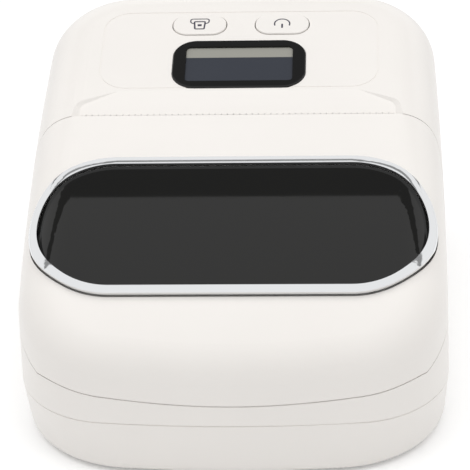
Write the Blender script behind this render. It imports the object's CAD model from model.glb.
"""Looks of a portable label printer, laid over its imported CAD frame. Metres, +Z up, front at -Y."""

import math

import bmesh
import bpy
import numpy as np
from mathutils import Matrix, Vector


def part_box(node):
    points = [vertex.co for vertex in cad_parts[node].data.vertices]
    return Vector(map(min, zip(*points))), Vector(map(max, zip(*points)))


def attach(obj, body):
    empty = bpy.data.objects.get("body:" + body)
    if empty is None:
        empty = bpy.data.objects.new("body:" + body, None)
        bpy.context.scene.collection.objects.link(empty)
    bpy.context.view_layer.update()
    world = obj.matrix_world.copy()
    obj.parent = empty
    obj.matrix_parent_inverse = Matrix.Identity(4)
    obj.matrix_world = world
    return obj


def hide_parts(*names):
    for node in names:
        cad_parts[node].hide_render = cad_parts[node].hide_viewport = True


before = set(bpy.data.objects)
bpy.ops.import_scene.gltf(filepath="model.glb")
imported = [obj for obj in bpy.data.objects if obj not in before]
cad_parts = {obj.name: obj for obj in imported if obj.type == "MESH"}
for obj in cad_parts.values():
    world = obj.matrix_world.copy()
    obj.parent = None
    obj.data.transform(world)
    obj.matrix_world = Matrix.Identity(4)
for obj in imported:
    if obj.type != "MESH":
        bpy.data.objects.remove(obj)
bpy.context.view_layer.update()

bl_info = {
    "name": "Portable Label Printer",
    "version": (1, 0, 0),
    "blender": (4, 5, 0),
    "location": "View3D > Sidebar > Label Printer",
    "description": "Finishes, key symbols and studio for a portable label printer",
    "category": "Object",
}

MM = 0.001

# Camera at the photograph's angle
CAMERA_PLACE = (0.028076, -0.487152, 0.316587)
CAMERA_RIGHT = (0.9986429, 0.0419302, -0.0308903)
CAMERA_UP = (0.0054189, 0.5062526, 0.8623682)
CAMERA_BACK = (0.0517976, -0.8613653, 0.5053383)
SENSOR_WIDTH = 36

# Floor, softbox and the two dark cards overhead, in metres, and their brightness
FLOOR_HALF = 3
FLOOR_WHITE = 0.96
FLOOR_GLOW = 0.16
SOFTBOX_PLACE = (0.0, -0.1, 0.9)
SOFTBOX_SIZE = (1.6, 0.9)
FLAG_LEVEL = 0.3
FLAG_HEIGHT = 0.85
FLAG_HALF = 0.8
WINDOW_FLAG = (0.265, 0.343)
DISPLAY_FLAG = (0.55, 1.3)

# Slopes of the panel and the window, the ring's rolled edge and the keys' print
PANEL_TILT = math.radians(13)
WINDOW_TILT = math.radians(21)
RING_ROUND = 1.1 * MM
RING_SEGMENTS = 5
RIM_ANGLE = math.radians(40)
RIM_FACING = 0.8
MERGE = 0.001 * MM
KEY_PRINT = 0.04 * MM
CAP_DEPTH = 0.02 * MM

# The grey strip starts at this share of the display's length, over a blend this wide
STRIP_START = 0.69
STRIP_BLEND = 0.08 * MM


# Settings


def colour_setting(name, description, default):
    """Colour property with these words and this default, linear RGB."""
    return bpy.props.FloatVectorProperty(
        name=name, description=description, subtype="COLOR", size=3, min=0, max=1, default=default
    )


class PrinterColours(bpy.types.PropertyGroup):
    """Colours of the printer's finishes."""

    shell: colour_setting("Shell", "Warm white of the moulded casing", (0.9, 0.868, 0.832))
    window: colour_setting("Window", "Smoked black of the lid's window", (0.0035, 0.0035, 0.003))
    chrome: colour_setting("Chrome", "Plating of the ring round the window", (0.78, 0.79, 0.8))
    bezel: colour_setting("Bezel", "Gloss black frame of the display", (0.002, 0.002, 0.002))
    display: colour_setting("Display", "Dark slate of the picture area", (0.038, 0.043, 0.056))
    display_strip: colour_setting("Display strip", "Grey strip at its rear", (0.33, 0.325, 0.29))
    symbol: colour_setting("Symbol", "Print of the key symbols", (0.06, 0.055, 0.08))
    chassis: colour_setting("Chassis", "Dark moulded parts under the lid", (0.035, 0.036, 0.04))
    nylon: colour_setting("Nylon", "Natural nylon of gears and bushings", (0.72, 0.7, 0.62))
    steel: colour_setting("Steel", "Bright zinc-plated steel", (0.56, 0.57, 0.58))
    mask: colour_setting("Mask", "Solder mask of the boards", (0.012, 0.085, 0.035))
    wrap: colour_setting("Wrap", "Shrink wrap of the battery pack", (0.02, 0.08, 0.24))


class PrinterSizes(bpy.types.PropertyGroup):
    """Sizes of the printed symbols and of the surface grain."""

    feed_width: bpy.props.FloatProperty(
        name="Feed symbol width", description="Width of the paper feed symbol",
        default=5.0 * MM, min=1 * MM, max=10 * MM, subtype="DISTANCE",
    )
    power_radius: bpy.props.FloatProperty(
        name="Power symbol radius", description="Radius of the power symbol's arc",
        default=2.05 * MM, min=1 * MM, max=4 * MM, subtype="DISTANCE",
    )
    stroke: bpy.props.FloatProperty(
        name="Stroke", description="Line width of the key symbols",
        default=0.44 * MM, min=0.1 * MM, max=1 * MM, subtype="DISTANCE",
    )
    grain: bpy.props.FloatProperty(
        name="Grain", description="Height of the moulded plastic's fine grain",
        default=0.006 * MM, min=0, max=0.1 * MM, subtype="DISTANCE",
    )


class StudioSettings(bpy.types.PropertyGroup):
    """Camera, floor and lamps."""

    focal_length: bpy.props.FloatProperty(
        name="Focal length", description="Camera focal length on a 36 mm sensor",
        default=164.06, min=20, max=400, unit="CAMERA",
    )
    softbox_level: bpy.props.FloatProperty(
        name="Softbox", description="Brightness of the overhead softbox", default=1.38, min=0, max=10
    )
    sky_level: bpy.props.FloatProperty(
        name="Sky", description="Brightness of the even light all round", default=0.55, min=0, max=5
    )


# Shared shader effects


def new_group(name, inputs, outputs):
    """Empty shader node group with these typed sockets; returns the group and its two end nodes."""
    group = bpy.data.node_groups.new(name, "ShaderNodeTree")
    for label, kind, default in inputs:
        socket = group.interface.new_socket(label, in_out="INPUT", socket_type=kind)
        if default is not None:
            socket.default_value = default
    for label, kind in outputs:
        group.interface.new_socket(label, in_out="OUTPUT", socket_type=kind)
    return group, group.nodes.new("NodeGroupInput"), group.nodes.new("NodeGroupOutput")


def math_node(tree, operation, first, second):
    """Math node whose operands are sockets or numbers; returns its output socket."""
    node = tree.nodes.new("ShaderNodeMath")
    node.operation = operation
    for socket, value in zip(node.inputs, (first, second)):
        if isinstance(value, (int, float)):
            socket.default_value = value
        else:
            tree.links.new(value, socket)
    return node.outputs[0]


def noise_node(tree, vector, scale, detail):
    """Noise texture on a vector socket, its scale a socket or number; returns the factor socket."""
    node = tree.nodes.new("ShaderNodeTexNoise")
    node.inputs["Detail"].default_value = detail
    tree.links.new(vector, node.inputs["Vector"])
    if isinstance(scale, (int, float)):
        node.inputs["Scale"].default_value = scale
    else:
        tree.links.new(scale, node.inputs["Scale"])
    return node.outputs["Fac"]


def blend_colours(tree, factor, first, second):
    """Mix of two colours by a factor socket; returns the colour socket."""
    node = tree.nodes.new("ShaderNodeMix")
    node.data_type = "RGBA"
    tree.links.new(factor, node.inputs["Factor"])
    for label, value in (("A", first), ("B", second)):
        socket = [item for item in node.inputs if item.name == label and item.type == "RGBA"][0]
        if isinstance(value, bpy.types.NodeSocket):
            tree.links.new(value, socket)
        else:
            socket.default_value = (*value, 1)
    return [item for item in node.outputs if item.type == "RGBA"][0]


def remap(tree, value, low, high, to_low, to_high):
    """Linear map of a value from one range to another, clamped; returns the result socket."""
    node = tree.nodes.new("ShaderNodeMapRange")
    tree.links.new(value, node.inputs["Value"])
    labels = ("From Min", "From Max", "To Min", "To Max")
    for label, number in zip(labels, (low, high, to_low, to_high)):
        socket = node.inputs[label]
        if isinstance(number, (int, float)):
            socket.default_value = number
        else:
            tree.links.new(number, socket)
    return node.outputs["Result"]


SURFACE_OUTPUTS = (
    ("Colour", "NodeSocketColor"), ("Roughness", "NodeSocketFloat"), ("Height", "NodeSocketFloat"),
)


def moulded_surface_group():
    """Spark-eroded grain of moulded plastic, with faint cloudiness of its colour and gloss."""
    group, start, end = new_group(
        "Moulded Surface",
        [
            ("Vector", "NodeSocketVector", None),
            ("Colour", "NodeSocketColor", (0.8, 0.8, 0.8, 1)),
            ("Shade", "NodeSocketColor", (0.7, 0.7, 0.7, 1)),
            ("Grain Scale", "NodeSocketFloat", 2500.0),
            ("Roughness", "NodeSocketFloat", 0.4),
            ("Roughness Spread", "NodeSocketFloat", 0.06),
        ],
        SURFACE_OUTPUTS,
    )
    vector = start.outputs["Vector"]
    cloud = noise_node(group, vector, 45.0, 3)
    fine = noise_node(group, vector, start.outputs["Grain Scale"], 2)
    smear = noise_node(group, vector, 160.0, 4)
    colour = blend_colours(
        group, remap(group, cloud, 0.35, 0.7, 0, 1), start.outputs["Colour"], start.outputs["Shade"]
    )
    centred = math_node(group, "SUBTRACT", smear, 0.5)
    spread = math_node(group, "MULTIPLY", centred, start.outputs["Roughness Spread"])
    change = math_node(group, "MULTIPLY", spread, 2.0)
    rough = math_node(group, "ADD", start.outputs["Roughness"], change)
    group.links.new(colour, end.inputs["Colour"])
    group.links.new(rough, end.inputs["Roughness"])
    group.links.new(fine, end.inputs["Height"])
    return group


def drawn_metal_group():
    """Fine parallel lines of drawn or rolled metal: noise stretched along one axis."""
    group, start, end = new_group(
        "Drawn Metal",
        [
            ("Vector", "NodeSocketVector", None),
            ("Colour", "NodeSocketColor", (0.6, 0.6, 0.6, 1)),
            ("Shade", "NodeSocketColor", (0.45, 0.45, 0.45, 1)),
            ("Stretch", "NodeSocketVector", (60.0, 3000.0, 3000.0)),
            ("Roughness", "NodeSocketFloat", 0.3),
        ],
        SURFACE_OUTPUTS,
    )
    scaled = group.nodes.new("ShaderNodeVectorMath")
    scaled.operation = "MULTIPLY"
    group.links.new(start.outputs["Vector"], scaled.inputs[0])
    group.links.new(start.outputs["Stretch"], scaled.inputs[1])
    lines = noise_node(group, scaled.outputs["Vector"], 1.0, 2)
    stain = noise_node(group, start.outputs["Vector"], 90.0, 3)
    colour = blend_colours(
        group, remap(group, stain, 0.4, 0.75, 0, 0.8), start.outputs["Colour"], start.outputs["Shade"]
    )
    change = remap(group, lines, 0.3, 0.7, -0.06, 0.08)
    rough = math_node(group, "ADD", start.outputs["Roughness"], change)
    group.links.new(colour, end.inputs["Colour"])
    group.links.new(rough, end.inputs["Roughness"])
    group.links.new(lines, end.inputs["Height"])
    return group


def scuff_group():
    """Handling marks on glossy covers: sparse thin scratches and soft smears that raise roughness."""
    group, start, end = new_group(
        "Handling Marks",
        [
            ("Vector", "NodeSocketVector", None),
            ("Roughness", "NodeSocketFloat", 0.06),
            ("Amount", "NodeSocketFloat", 0.05),
        ],
        [("Roughness", "NodeSocketFloat"), ("Height", "NodeSocketFloat")],
    )
    vector = start.outputs["Vector"]
    smear = remap(group, noise_node(group, vector, 38.0, 5), 0.45, 0.8, 0, 1)
    waves = group.nodes.new("ShaderNodeTexWave")
    waves.inputs["Scale"].default_value = 70.0
    waves.inputs["Distortion"].default_value = 14.0
    waves.inputs["Detail"].default_value = 3.0
    group.links.new(vector, waves.inputs["Vector"])
    scratch = remap(group, waves.outputs["Fac"], 0.985, 1.0, 0, 1)
    marks = math_node(group, "MAXIMUM", smear, math_node(group, "MULTIPLY", scratch, 0.6))
    change = math_node(group, "MULTIPLY", marks, start.outputs["Amount"])
    rough = math_node(group, "ADD", start.outputs["Roughness"], change)
    group.links.new(rough, end.inputs["Roughness"])
    group.links.new(scratch, end.inputs["Height"])
    return group


def shared_group(name, maker):
    """The node group of this name, made once."""
    return bpy.data.node_groups.get(name) or maker()


# Materials


def start_material(name):
    """New node material; returns it, its tree, its Principled shader and the object position."""
    material = bpy.data.materials.new(name)
    material.use_nodes = True
    tree = material.node_tree
    shader = tree.nodes["Principled BSDF"]
    place = tree.nodes.new("ShaderNodeTexCoord").outputs["Object"]
    return material, tree, shader, place


def place_group(tree, group, place, **values):
    """Node of a shared group in a material, read at the object position, with its own values."""
    node = tree.nodes.new("ShaderNodeGroup")
    node.node_tree = group
    tree.links.new(place, node.inputs["Vector"])
    for label, value in values.items():
        socket = node.inputs[label.replace("_", " ")]
        socket.default_value = (*value, 1) if socket.type == "RGBA" else value
    return node


def add_bump(tree, shader, height, distance, strength):
    """Bump from a height socket into the shader's normal."""
    bump = tree.nodes.new("ShaderNodeBump")
    bump.inputs["Distance"].default_value = distance
    bump.inputs["Strength"].default_value = strength
    tree.links.new(height, bump.inputs["Height"])
    tree.links.new(bump.outputs["Normal"], shader.inputs["Normal"])


def moulded_plastic(
    name, colour, roughness, spread=0.05, grain=None, scale=2500.0, depth=0.93, coat=0.0
):
    """Moulded plastic of a colour, with grain, cloudiness and varied gloss."""
    sizes = bpy.context.scene.printer_sizes
    material, tree, shader, place = start_material(name)
    shade = tuple(channel * depth for channel in colour)
    node = place_group(
        tree, shared_group("Moulded Surface", moulded_surface_group), place,
        Colour=tuple(colour), Shade=shade, Grain_Scale=scale,
        Roughness=roughness, Roughness_Spread=spread,
    )
    tree.links.new(node.outputs["Colour"], shader.inputs["Base Color"])
    tree.links.new(node.outputs["Roughness"], shader.inputs["Roughness"])
    shader.inputs["Coat Weight"].default_value = coat
    shader.inputs["Coat Roughness"].default_value = 0.08
    add_bump(tree, shader, node.outputs["Height"], sizes.grain if grain is None else grain, 0.6)
    return material


def drawn_metal(name, colour, roughness, stretch=(60.0, 3000.0, 3000.0), shade=0.8):
    """Rolled or turned metal with fine lines along one axis."""
    material, tree, shader, place = start_material(name)
    node = place_group(
        tree, shared_group("Drawn Metal", drawn_metal_group), place,
        Colour=tuple(colour), Shade=tuple(channel * shade for channel in colour),
        Stretch=stretch, Roughness=roughness,
    )
    shader.inputs["Metallic"].default_value = 1.0
    tree.links.new(node.outputs["Colour"], shader.inputs["Base Color"])
    tree.links.new(node.outputs["Roughness"], shader.inputs["Roughness"])
    add_bump(tree, shader, node.outputs["Height"], 0.004 * MM, 0.4)
    return material


def glossy_cover(name, colour, roughness, amount=0.04, metallic=0.0, ior=1.45):
    """Polished cover or plating with faint smears and hair scratches."""
    material, tree, shader, place = start_material(name)
    node = place_group(
        tree, shared_group("Handling Marks", scuff_group), place, Roughness=roughness, Amount=amount
    )
    shader.inputs["Base Color"].default_value = (*colour, 1)
    shader.inputs["Metallic"].default_value = metallic
    shader.inputs["IOR"].default_value = ior
    tree.links.new(node.outputs["Roughness"], shader.inputs["Roughness"])
    add_bump(tree, shader, node.outputs["Height"], 0.001 * MM, 0.15)
    return material


def split_along(tree, place, axis, low, high):
    """Mask from 0 to 1 as the position along an axis goes from low to high."""
    parts = tree.nodes.new("ShaderNodeSeparateXYZ")
    tree.links.new(place, parts.inputs["Vector"])
    return remap(tree, parts.outputs[axis], low, high, 0, 1)


def display_material(colours):
    """Display glass: dark slate picture area with a grey strip along its rear."""
    material = glossy_cover("display_face", colours.display, 0.1, 0.1)
    tree = material.node_tree
    shader = tree.nodes["Principled BSDF"]
    place = tree.nodes["Texture Coordinate"].outputs["Object"]
    low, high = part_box("display_lens")
    line = low[1] + (high[1] - low[1]) * STRIP_START
    mask = split_along(tree, place, "Y", line - STRIP_BLEND, line + STRIP_BLEND)
    mixed = blend_colours(tree, mask, colours.display, colours.display_strip)
    tree.links.new(mixed, shader.inputs["Base Color"])
    return material


def board_material(colours):
    """Circuit board: solder mask with fine copper tracks showing as raised lines."""
    material, tree, shader, place = start_material("circuit_board")
    bricks = tree.nodes.new("ShaderNodeTexBrick")
    bricks.inputs["Scale"].default_value = 110.0
    bricks.inputs["Mortar Size"].default_value = 0.035
    bricks.inputs["Mortar Smooth"].default_value = 0.3
    bricks.inputs["Brick Width"].default_value = 0.9
    bricks.inputs["Row Height"].default_value = 0.32
    tree.links.new(place, bricks.inputs["Vector"])
    tint = noise_node(tree, place, 60.0, 3)
    mask = remap(tree, bricks.outputs["Fac"], 0, 1, 0, 0.7)
    light = tuple(min(1, channel * 2.4) for channel in colours.mask)
    colour = blend_colours(tree, mask, colours.mask, light)
    tree.links.new(colour, shader.inputs["Base Color"])
    tree.links.new(remap(tree, tint, 0.3, 0.7, 0.25, 0.4), shader.inputs["Roughness"])
    add_bump(tree, shader, bricks.outputs["Fac"], 0.02 * MM, 0.5)
    return material


def rubber_material():
    """Ground silicone rubber of the platen and the feet."""
    return moulded_plastic("ground_rubber", (0.02, 0.02, 0.022), 0.75, 0.08, 0.02 * MM, 1500.0, 0.7)


def foam_material():
    """Open-cell foam of the battery's pad."""
    material, tree, shader, place = start_material("foam_pad")
    cells = tree.nodes.new("ShaderNodeTexVoronoi")
    cells.inputs["Scale"].default_value = 1200.0
    tree.links.new(place, cells.inputs["Vector"])
    colour = blend_colours(tree, cells.outputs["Distance"], (0.02, 0.02, 0.02), (0.09, 0.09, 0.095))
    tree.links.new(colour, shader.inputs["Base Color"])
    tree.links.new(remap(tree, cells.outputs["Distance"], 0, 1, 0.8, 0.95), shader.inputs["Roughness"])
    add_bump(tree, shader, cells.outputs["Distance"], 0.1 * MM, 0.8)
    return material


def dress(material, *nodes):
    """Give these CAD nodes one material."""
    for name in nodes:
        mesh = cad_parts[name].data
        mesh.materials.clear()
        mesh.materials.append(material)


# Surfaces


def new_piece(name, vertices, faces, material, body):
    """Mesh object from arrays of vertices and faces, riding on a body."""
    mesh = bpy.data.meshes.new(name)
    mesh.from_pydata(vertices.tolist(), [], faces)
    mesh.validate()
    mesh.update()
    piece = bpy.data.objects.new(name, mesh)
    bpy.context.collection.objects.link(piece)
    mesh.materials.append(material)
    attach(piece, body)
    return piece


def ribbon(path, width, closed=False):
    """Flat band along a path in the plane: each point moved half a width to each side of the path,
    along the unit normal of the central difference; top and bottom copies are joined by walls."""
    path = np.asarray(path, float)
    if closed:
        along = np.roll(path, -1, axis=0) - np.roll(path, 1, axis=0)
    else:
        along = np.gradient(path, axis=0)
    along /= np.linalg.norm(along, axis=1, keepdims=True)
    normal = np.stack((-along[:, 1], along[:, 0]), axis=1) * width / 2
    left, right = path + normal, path - normal
    count = len(path)
    points = np.concatenate((left, right, right, left))
    level = np.repeat((0.0, 0.0, 1.0, 1.0), count)
    faces = []
    for step in range(count if closed else count - 1):
        ahead = (step + 1) % count
        for row in range(4):
            other = (row + 1) % 4
            near, far = row * count, other * count
            faces.append((near + ahead, near + step, far + step, far + ahead))
    if not closed:
        faces.append(tuple(row * count for row in range(4)))
        faces.append(tuple(row * count + count - 1 for row in reversed(range(4))))
    return points, level, faces


def join_ribbons(parts):
    """Several ribbons as one set of points, levels and faces."""
    points, levels, faces, offset = [], [], [], 0
    for part_points, part_level, part_faces in parts:
        points.append(part_points)
        levels.append(part_level)
        faces += [tuple(index + offset for index in face) for face in part_faces]
        offset += len(part_points)
    return np.concatenate(points), np.concatenate(levels), faces


def rounded_path(corners, radius, steps=6):
    """Open path with its inner corners rounded by quadratic curves that start a radius before each."""
    corners = [np.asarray(corner, float) for corner in corners]
    path = [corners[0]]
    for before, corner, after in zip(corners, corners[1:], corners[2:]):
        way_in = (before - corner) / np.linalg.norm(before - corner)
        way_out = (after - corner) / np.linalg.norm(after - corner)
        share = np.linspace(0, 1, steps)[:, None]
        start, end = corner + way_in * radius, corner + way_out * radius
        path += list((1 - share) ** 2 * start + 2 * share * (1 - share) * corner + share**2 * end)
    path.append(corners[-1])
    return np.array(path)


def key_cap(node):
    """Centre of a key's flat cap, the panel's slope and its normal. The cap is the vertices that lie
    farthest along the normal, and its centre is the middle of their box, put on that height."""
    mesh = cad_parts[node].data
    points = np.empty(len(mesh.vertices) * 3)
    mesh.vertices.foreach_get("co", points)
    points = points.reshape(-1, 3)
    slope = np.array((0, math.cos(PANEL_TILT), math.sin(PANEL_TILT)))
    normal = np.array((0, -math.sin(PANEL_TILT), math.cos(PANEL_TILT)))
    height = points @ normal
    cap = points[height > height.max() - CAP_DEPTH]
    middle = (cap.min(axis=0) + cap.max(axis=0)) / 2
    return middle + normal * (height.max() - middle @ normal), slope, normal


def rounded_ring(material):
    """The ring with a half-round face: the CAD ring's merged mesh, whose sharp edges along the top are
    rolled over to an arc of RING_ROUND."""
    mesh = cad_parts["chrome_ring"].data.copy()
    mesh.name = "ring_rounded"
    shape = bmesh.new()
    shape.from_mesh(mesh)
    bmesh.ops.remove_doubles(shape, verts=shape.verts, dist=MERGE)
    bmesh.ops.dissolve_degenerate(shape, edges=shape.edges, dist=MERGE)
    shape.normal_update()
    outward = Vector((0, -math.sin(WINDOW_TILT), math.cos(WINDOW_TILT)))
    rims = []
    for edge in shape.edges:
        if len(edge.link_faces) == 2 and edge.calc_face_angle() > RIM_ANGLE:
            if max(face.normal.dot(outward) for face in edge.link_faces) > RIM_FACING:
                rims.append(edge)
    bmesh.ops.bevel(
        shape, geom=rims, offset=RING_ROUND, offset_type="OFFSET", segments=RING_SEGMENTS,
        profile=0.5, affect="EDGES", clamp_overlap=True,
    )
    for face in shape.faces:
        face.smooth = True
    shape.to_mesh(mesh)
    shape.free()
    ring = bpy.data.objects.new("ring_rounded", mesh)
    bpy.context.collection.objects.link(ring)
    mesh.materials.clear()
    mesh.materials.append(material)
    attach(ring, "lid")
    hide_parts("chrome_ring")


class LABELPRINTER_OT_casing(bpy.types.Operator):
    """Finish the warm white casing, its lid and its keys"""

    bl_idname = "label_printer.casing"
    bl_label = "Casing"

    def execute(self, context):
        colours = context.scene.printer_colours
        shell = moulded_plastic(
            "shell_white", colours.shell, 0.34, 0.04, scale=2600.0, depth=0.985, coat=0.15
        )
        dress(shell, "lid_shell", "upper_case", "bottom_case", "release_button")
        keys = moulded_plastic(
            "key_white", colours.shell, 0.3, 0.03, scale=3000.0, depth=0.985, coat=0.2
        )
        dress(keys, "feed_button", "power_button")
        dress(rubber_material(), "rubber_feet", "platen_roller")
        return {"FINISHED"}


class LABELPRINTER_OT_window(bpy.types.Operator):
    """Finish the oval window and its chrome ring"""

    bl_idname = "label_printer.window"
    bl_label = "Window and ring"

    def execute(self, context):
        colours = context.scene.printer_colours
        dress(glossy_cover("window_black", colours.window, 0.03, 0.02), "window_lens")
        chrome = glossy_cover("ring_chrome", colours.chrome, 0.05, 0.03, 1.0)
        dress(chrome, "chrome_ring")
        rounded_ring(chrome)
        return {"FINISHED"}


class LABELPRINTER_OT_display(bpy.types.Operator):
    """Finish the display, its bezel and what lies behind it"""

    bl_idname = "label_printer.display"
    bl_label = "Display"

    def execute(self, context):
        colours = context.scene.printer_colours
        dress(glossy_cover("bezel_black", colours.bezel, 0.05, 0.05), "display_bezel")
        dress(display_material(colours), "display_lens")
        dress(moulded_plastic("module_black", colours.chassis, 0.5), "display_module", "key_switches")
        return {"FINISHED"}


class LABELPRINTER_OT_mechanism(bpy.types.Operator):
    """Finish the print mechanism, the cradle, the lid's frame and all screws"""

    bl_idname = "label_printer.mechanism"
    bl_label = "Mechanism"

    def execute(self, context):
        colours = context.scene.printer_colours
        chassis = moulded_plastic("chassis_black", colours.chassis, 0.55, 0.06, 0.012 * MM, 1800.0, 0.8)
        dress(
            chassis, "lid_frame", "roll_cradle", "left_roll_guide", "right_roll_guide", "paper_sensor"
        )
        nylon = moulded_plastic("gear_nylon", colours.nylon, 0.42, 0.05, 0.008 * MM, 2200.0, 0.9)
        dress(nylon, "platen_gear", "idler_gear", "reduction_gear", "guide_pinion", "platen_bushings")
        dress(
            drawn_metal("sheet_steel", colours.steel, 0.34),
            "mechanism_frame", "stepper_motor", "latch_bar", "usb_socket",
        )
        dress(drawn_metal("tear_steel", (0.86, 0.85, 0.83), 0.45), "tear_bar")
        dress(
            drawn_metal("turned_steel", colours.steel, 0.22, (60.0, 60.0, 3500.0)),
            "hinge_pins", "platen_shaft", "gear_posts", "head_pin", "latch_pin",
            "head_springs", "latch_spring", "release_spring",
        )
        dress(
            drawn_metal("screw_steel", (0.42, 0.42, 0.43), 0.3, (2500.0, 2500.0, 200.0)),
            "control_screws", "frame_screws", "motor_screws", "cradle_screws", "board_screws",
            "case_screws",
        )
        dress(drawn_metal("pinion_brass", (0.62, 0.42, 0.13), 0.28), "motor_pinion")
        dress(drawn_metal("extruded_aluminium", (0.6, 0.61, 0.62), 0.38), "print_head")
        dress(glossy_cover("glazed_ceramic", (0.58, 0.56, 0.5), 0.16, 0.08), "head_element")
        return {"FINISHED"}


class LABELPRINTER_OT_electronics(bpy.types.Operator):
    """Finish the boards, the battery and its pad"""

    bl_idname = "label_printer.electronics"
    bl_label = "Electronics"

    def execute(self, context):
        colours = context.scene.printer_colours
        dress(board_material(colours), "main_board", "control_board")
        dress(moulded_plastic("component_black", (0.02, 0.02, 0.021), 0.5), "board_parts")
        wrap = moulded_plastic(
            "battery_wrap", colours.wrap, 0.3, 0.1, 0.02 * MM, 500.0, 0.8, 0.3
        )
        dress(wrap, "battery_pack")
        dress(foam_material(), "battery_pad")
        return {"FINISHED"}


def symbol_piece(name, parts, node, body, colours):
    """Printed symbol on a key's cap, from ribbons in the cap's own plane: u runs along X, v up the
    slope, and the level runs along the normal from just under the cap to just above it."""
    points, level, faces = join_ribbons(parts)
    centre, slope, normal = key_cap(node)
    vertices = centre + np.outer(points[:, 0], (1, 0, 0)) + np.outer(points[:, 1], slope)
    vertices = vertices + np.outer(level - 0.5, normal) * KEY_PRINT
    ink = bpy.data.materials.get("symbol_ink") or moulded_plastic(
        "symbol_ink", colours.symbol, 0.5, 0.08, 0.004 * MM, 4000.0, 0.8
    )
    return new_piece(name, vertices, faces, ink, body)


class LABELPRINTER_OT_symbols(bpy.types.Operator):
    """Print the paper feed and power symbols on the two keys, to be read from the rear"""

    bl_idname = "label_printer.symbols"
    bl_label = "Key symbols"

    def execute(self, context):
        colours = context.scene.printer_colours
        sizes = context.scene.printer_sizes
        half = sizes.feed_width / 2
        tray = rounded_path(
            [(-0.55 * half, 0.05 * half), (-half, 0.2 * half), (-half, 0.88 * half),
             (half, 0.88 * half), (half, 0.2 * half), (0.55 * half, 0.05 * half)],
            0.3 * half,
        )
        page = rounded_path(
            [(0, 0.42 * half), (0.58 * half, 0.42 * half), (0.5 * half, -0.85 * half),
             (-0.5 * half, -0.85 * half), (-0.58 * half, 0.42 * half), (0, 0.42 * half)],
            0.12 * half, 4,
        )
        block = [(-0.22 * half, -0.2 * half), (0.22 * half, -0.2 * half)]
        feed = [
            ribbon(tray, sizes.stroke * 0.8),
            ribbon(page[:-1], sizes.stroke, closed=True),
            ribbon(block, 0.35 * half),
        ]
        symbol_piece("feed_symbol", feed, "feed_button", "feed_key", colours)
        turn = np.radians(np.linspace(-22, 202, 33))
        radius = sizes.power_radius
        arc = np.stack((radius * np.cos(turn), radius * np.sin(turn) - 0.1 * radius), axis=1)
        bar = [(0, -0.12 * radius), (0, -0.98 * radius)]
        power = [ribbon(arc, sizes.stroke * 0.85), ribbon(bar, sizes.stroke * 1.1)]
        symbol_piece("power_symbol", power, "power_button", "power_key", colours)
        return {"FINISHED"}


class LABELPRINTER_OT_studio(bpy.types.Operator):
    """Set the floor, the lamps, the world and the camera at the photograph's angle"""

    bl_idname = "label_printer.studio"
    bl_label = "Studio"

    def execute(self, context):
        studio = context.scene.studio_settings
        scene = context.scene
        add_floor()
        add_flags()
        add_lamp("softbox", SOFTBOX_PLACE, *SOFTBOX_SIZE, studio.softbox_level)
        set_world(studio.sky_level)
        data = bpy.data.cameras.new("camera")
        data.sensor_width = SENSOR_WIDTH
        data.lens = studio.focal_length
        camera = bpy.data.objects.new("camera", data)
        scene.collection.objects.link(camera)
        turned = Matrix((CAMERA_RIGHT, CAMERA_UP, CAMERA_BACK)).transposed().to_4x4()
        camera.matrix_world = Matrix.Translation(CAMERA_PLACE) @ turned
        scene.camera = camera
        scene.view_settings.view_transform = "Standard"
        return {"FINISHED"}


def background_rays(tree):
    """Socket that is 1 for camera, glossy and transmission rays and 0 for all others."""
    rays = tree.nodes.new("ShaderNodeLightPath")
    seen = math_node(tree, "MAXIMUM", rays.outputs["Is Camera Ray"], rays.outputs["Is Glossy Ray"])
    return math_node(tree, "MAXIMUM", seen, rays.outputs["Is Transmission Ray"])


def floor_material():
    """Pale matte floor with a little glow of its own, so that it is white where no shadow falls."""
    material = bpy.data.materials.new("floor_white")
    material.use_nodes = True
    tree = material.node_tree
    shader = tree.nodes["Principled BSDF"]
    shader.inputs["Base Color"].default_value = (FLOOR_WHITE, FLOOR_WHITE, FLOOR_WHITE, 1)
    shader.inputs["Roughness"].default_value = 1.0
    shader.inputs["Specular IOR Level"].default_value = 0.0
    shader.inputs["Emission Color"].default_value = (1, 1, 1, 1)
    glow = math_node(tree, "MULTIPLY", background_rays(tree), FLOOR_GLOW)
    tree.links.new(glow, shader.inputs["Emission Strength"])
    return material


def flat_panel(name, low, high, height, material):
    """Level rectangle between two corners at a height, as a piece of the stage."""
    plan = (low, (high[0], low[1]), high, (low[0], high[1]))
    corners = [(x, y, height) for x, y in plan]
    mesh = bpy.data.meshes.new(name)
    mesh.from_pydata(corners, [], [(0, 1, 2, 3)])
    mesh.materials.append(material)
    panel = bpy.data.objects.new(name, mesh)
    bpy.context.scene.collection.objects.link(panel)
    return panel


def add_floor():
    """Square floor under the feet."""
    flat_panel("floor", (-FLOOR_HALF, -FLOOR_HALF), (FLOOR_HALF, FLOOR_HALF), 0, floor_material())


def add_flags():
    """Two dark cards overhead, behind the object, that show only in glossy reflections: the smoked
    window mirrors the first, the bezel and the display mirror the second, and the ring the gap."""
    material = bpy.data.materials.new("flag_grey")
    material.use_nodes = True
    shader = material.node_tree.nodes["Principled BSDF"]
    shader.inputs["Base Color"].default_value = (0, 0, 0, 1)
    shader.inputs["Specular IOR Level"].default_value = 0.0
    shader.inputs["Emission Color"].default_value = (1, 1, 1, 1)
    shader.inputs["Emission Strength"].default_value = FLAG_LEVEL
    for name, (near, far) in (("window_flag", WINDOW_FLAG), ("display_flag", DISPLAY_FLAG)):
        flag = flat_panel(name, (-FLAG_HALF, near), (FLAG_HALF, far), FLAG_HEIGHT, material)
        flag.visible_camera = False
        flag.visible_diffuse = False
        flag.visible_transmission = False
        flag.visible_shadow = False


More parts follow.
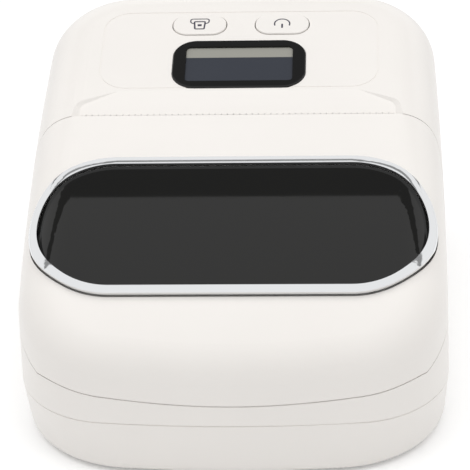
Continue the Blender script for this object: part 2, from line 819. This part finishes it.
def add_lamp(name, place, width, length, level):
    """Rectangular softbox at a place, facing down; level is its radiance."""
    data = bpy.data.lights.new(name, "AREA")
    data.shape = "RECTANGLE"
    data.size = width
    data.size_y = length
    data.energy = level * math.pi * width * length
    lamp = bpy.data.objects.new(name, data)
    lamp.matrix_world = Matrix.Translation(place)
    lamp.visible_glossy = False
    bpy.context.scene.collection.objects.link(lamp)


def set_world(level):
    """Even light from all round, and plain white where the world is seen or mirrored."""
    world = bpy.data.worlds.new("studio")
    bpy.context.scene.world = world
    world.use_nodes = True
    tree = world.node_tree
    tree.nodes.clear()
    seen = tree.nodes.new("ShaderNodeBackground")
    light = tree.nodes.new("ShaderNodeBackground")
    light.inputs["Strength"].default_value = level
    mix = tree.nodes.new("ShaderNodeMixShader")
    out = tree.nodes.new("ShaderNodeOutputWorld")
    tree.links.new(background_rays(tree), mix.inputs["Fac"])
    tree.links.new(light.outputs["Background"], mix.inputs[1])
    tree.links.new(seen.outputs["Background"], mix.inputs[2])
    seen.inputs["Color"].default_value = (1, 1, 1, 1)
    light.inputs["Color"].default_value = (1, 1, 1, 1)
    tree.links.new(mix.outputs["Shader"], out.inputs["Surface"])


OPERATORS = (
    LABELPRINTER_OT_casing,
    LABELPRINTER_OT_window,
    LABELPRINTER_OT_display,
    LABELPRINTER_OT_mechanism,
    LABELPRINTER_OT_electronics,
    LABELPRINTER_OT_symbols,
    LABELPRINTER_OT_studio,
)


class LABELPRINTER_PT_panel(bpy.types.Panel):
    """Steps that dress the printer, in order"""

    bl_label = "Label Printer"
    bl_idname = "LABELPRINTER_PT_panel"
    bl_space_type = "VIEW_3D"
    bl_region_type = "UI"
    bl_category = "Label Printer"

    def draw(self, context):
        for operator in OPERATORS:
            self.layout.operator(operator.bl_idname)
        for settings in ("printer_colours", "printer_sizes", "studio_settings"):
            group = getattr(context.scene, settings)
            for name in group.bl_rna.properties.keys():
                if name not in ("rna_type", "name"):
                    self.layout.prop(group, name)


CLASSES = (PrinterColours, PrinterSizes, StudioSettings, *OPERATORS, LABELPRINTER_PT_panel)


def register():
    """Register every class and hang the settings on the scene."""
    for item in CLASSES:
        bpy.utils.register_class(item)
    bpy.types.Scene.printer_colours = bpy.props.PointerProperty(type=PrinterColours)
    bpy.types.Scene.printer_sizes = bpy.props.PointerProperty(type=PrinterSizes)
    bpy.types.Scene.studio_settings = bpy.props.PointerProperty(type=StudioSettings)


def unregister():
    """Remove the settings and every class."""
    del bpy.types.Scene.printer_colours
    del bpy.types.Scene.printer_sizes
    del bpy.types.Scene.studio_settings
    for item in reversed(CLASSES):
        bpy.utils.unregister_class(item)


def main():
    """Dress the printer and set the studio."""
    register()
    bpy.ops.label_printer.casing()
    bpy.ops.label_printer.window()
    bpy.ops.label_printer.display()
    bpy.ops.label_printer.mechanism()
    bpy.ops.label_printer.electronics()
    bpy.ops.label_printer.symbols()
    bpy.ops.label_printer.studio()


if __name__ == "__main__":
    main()
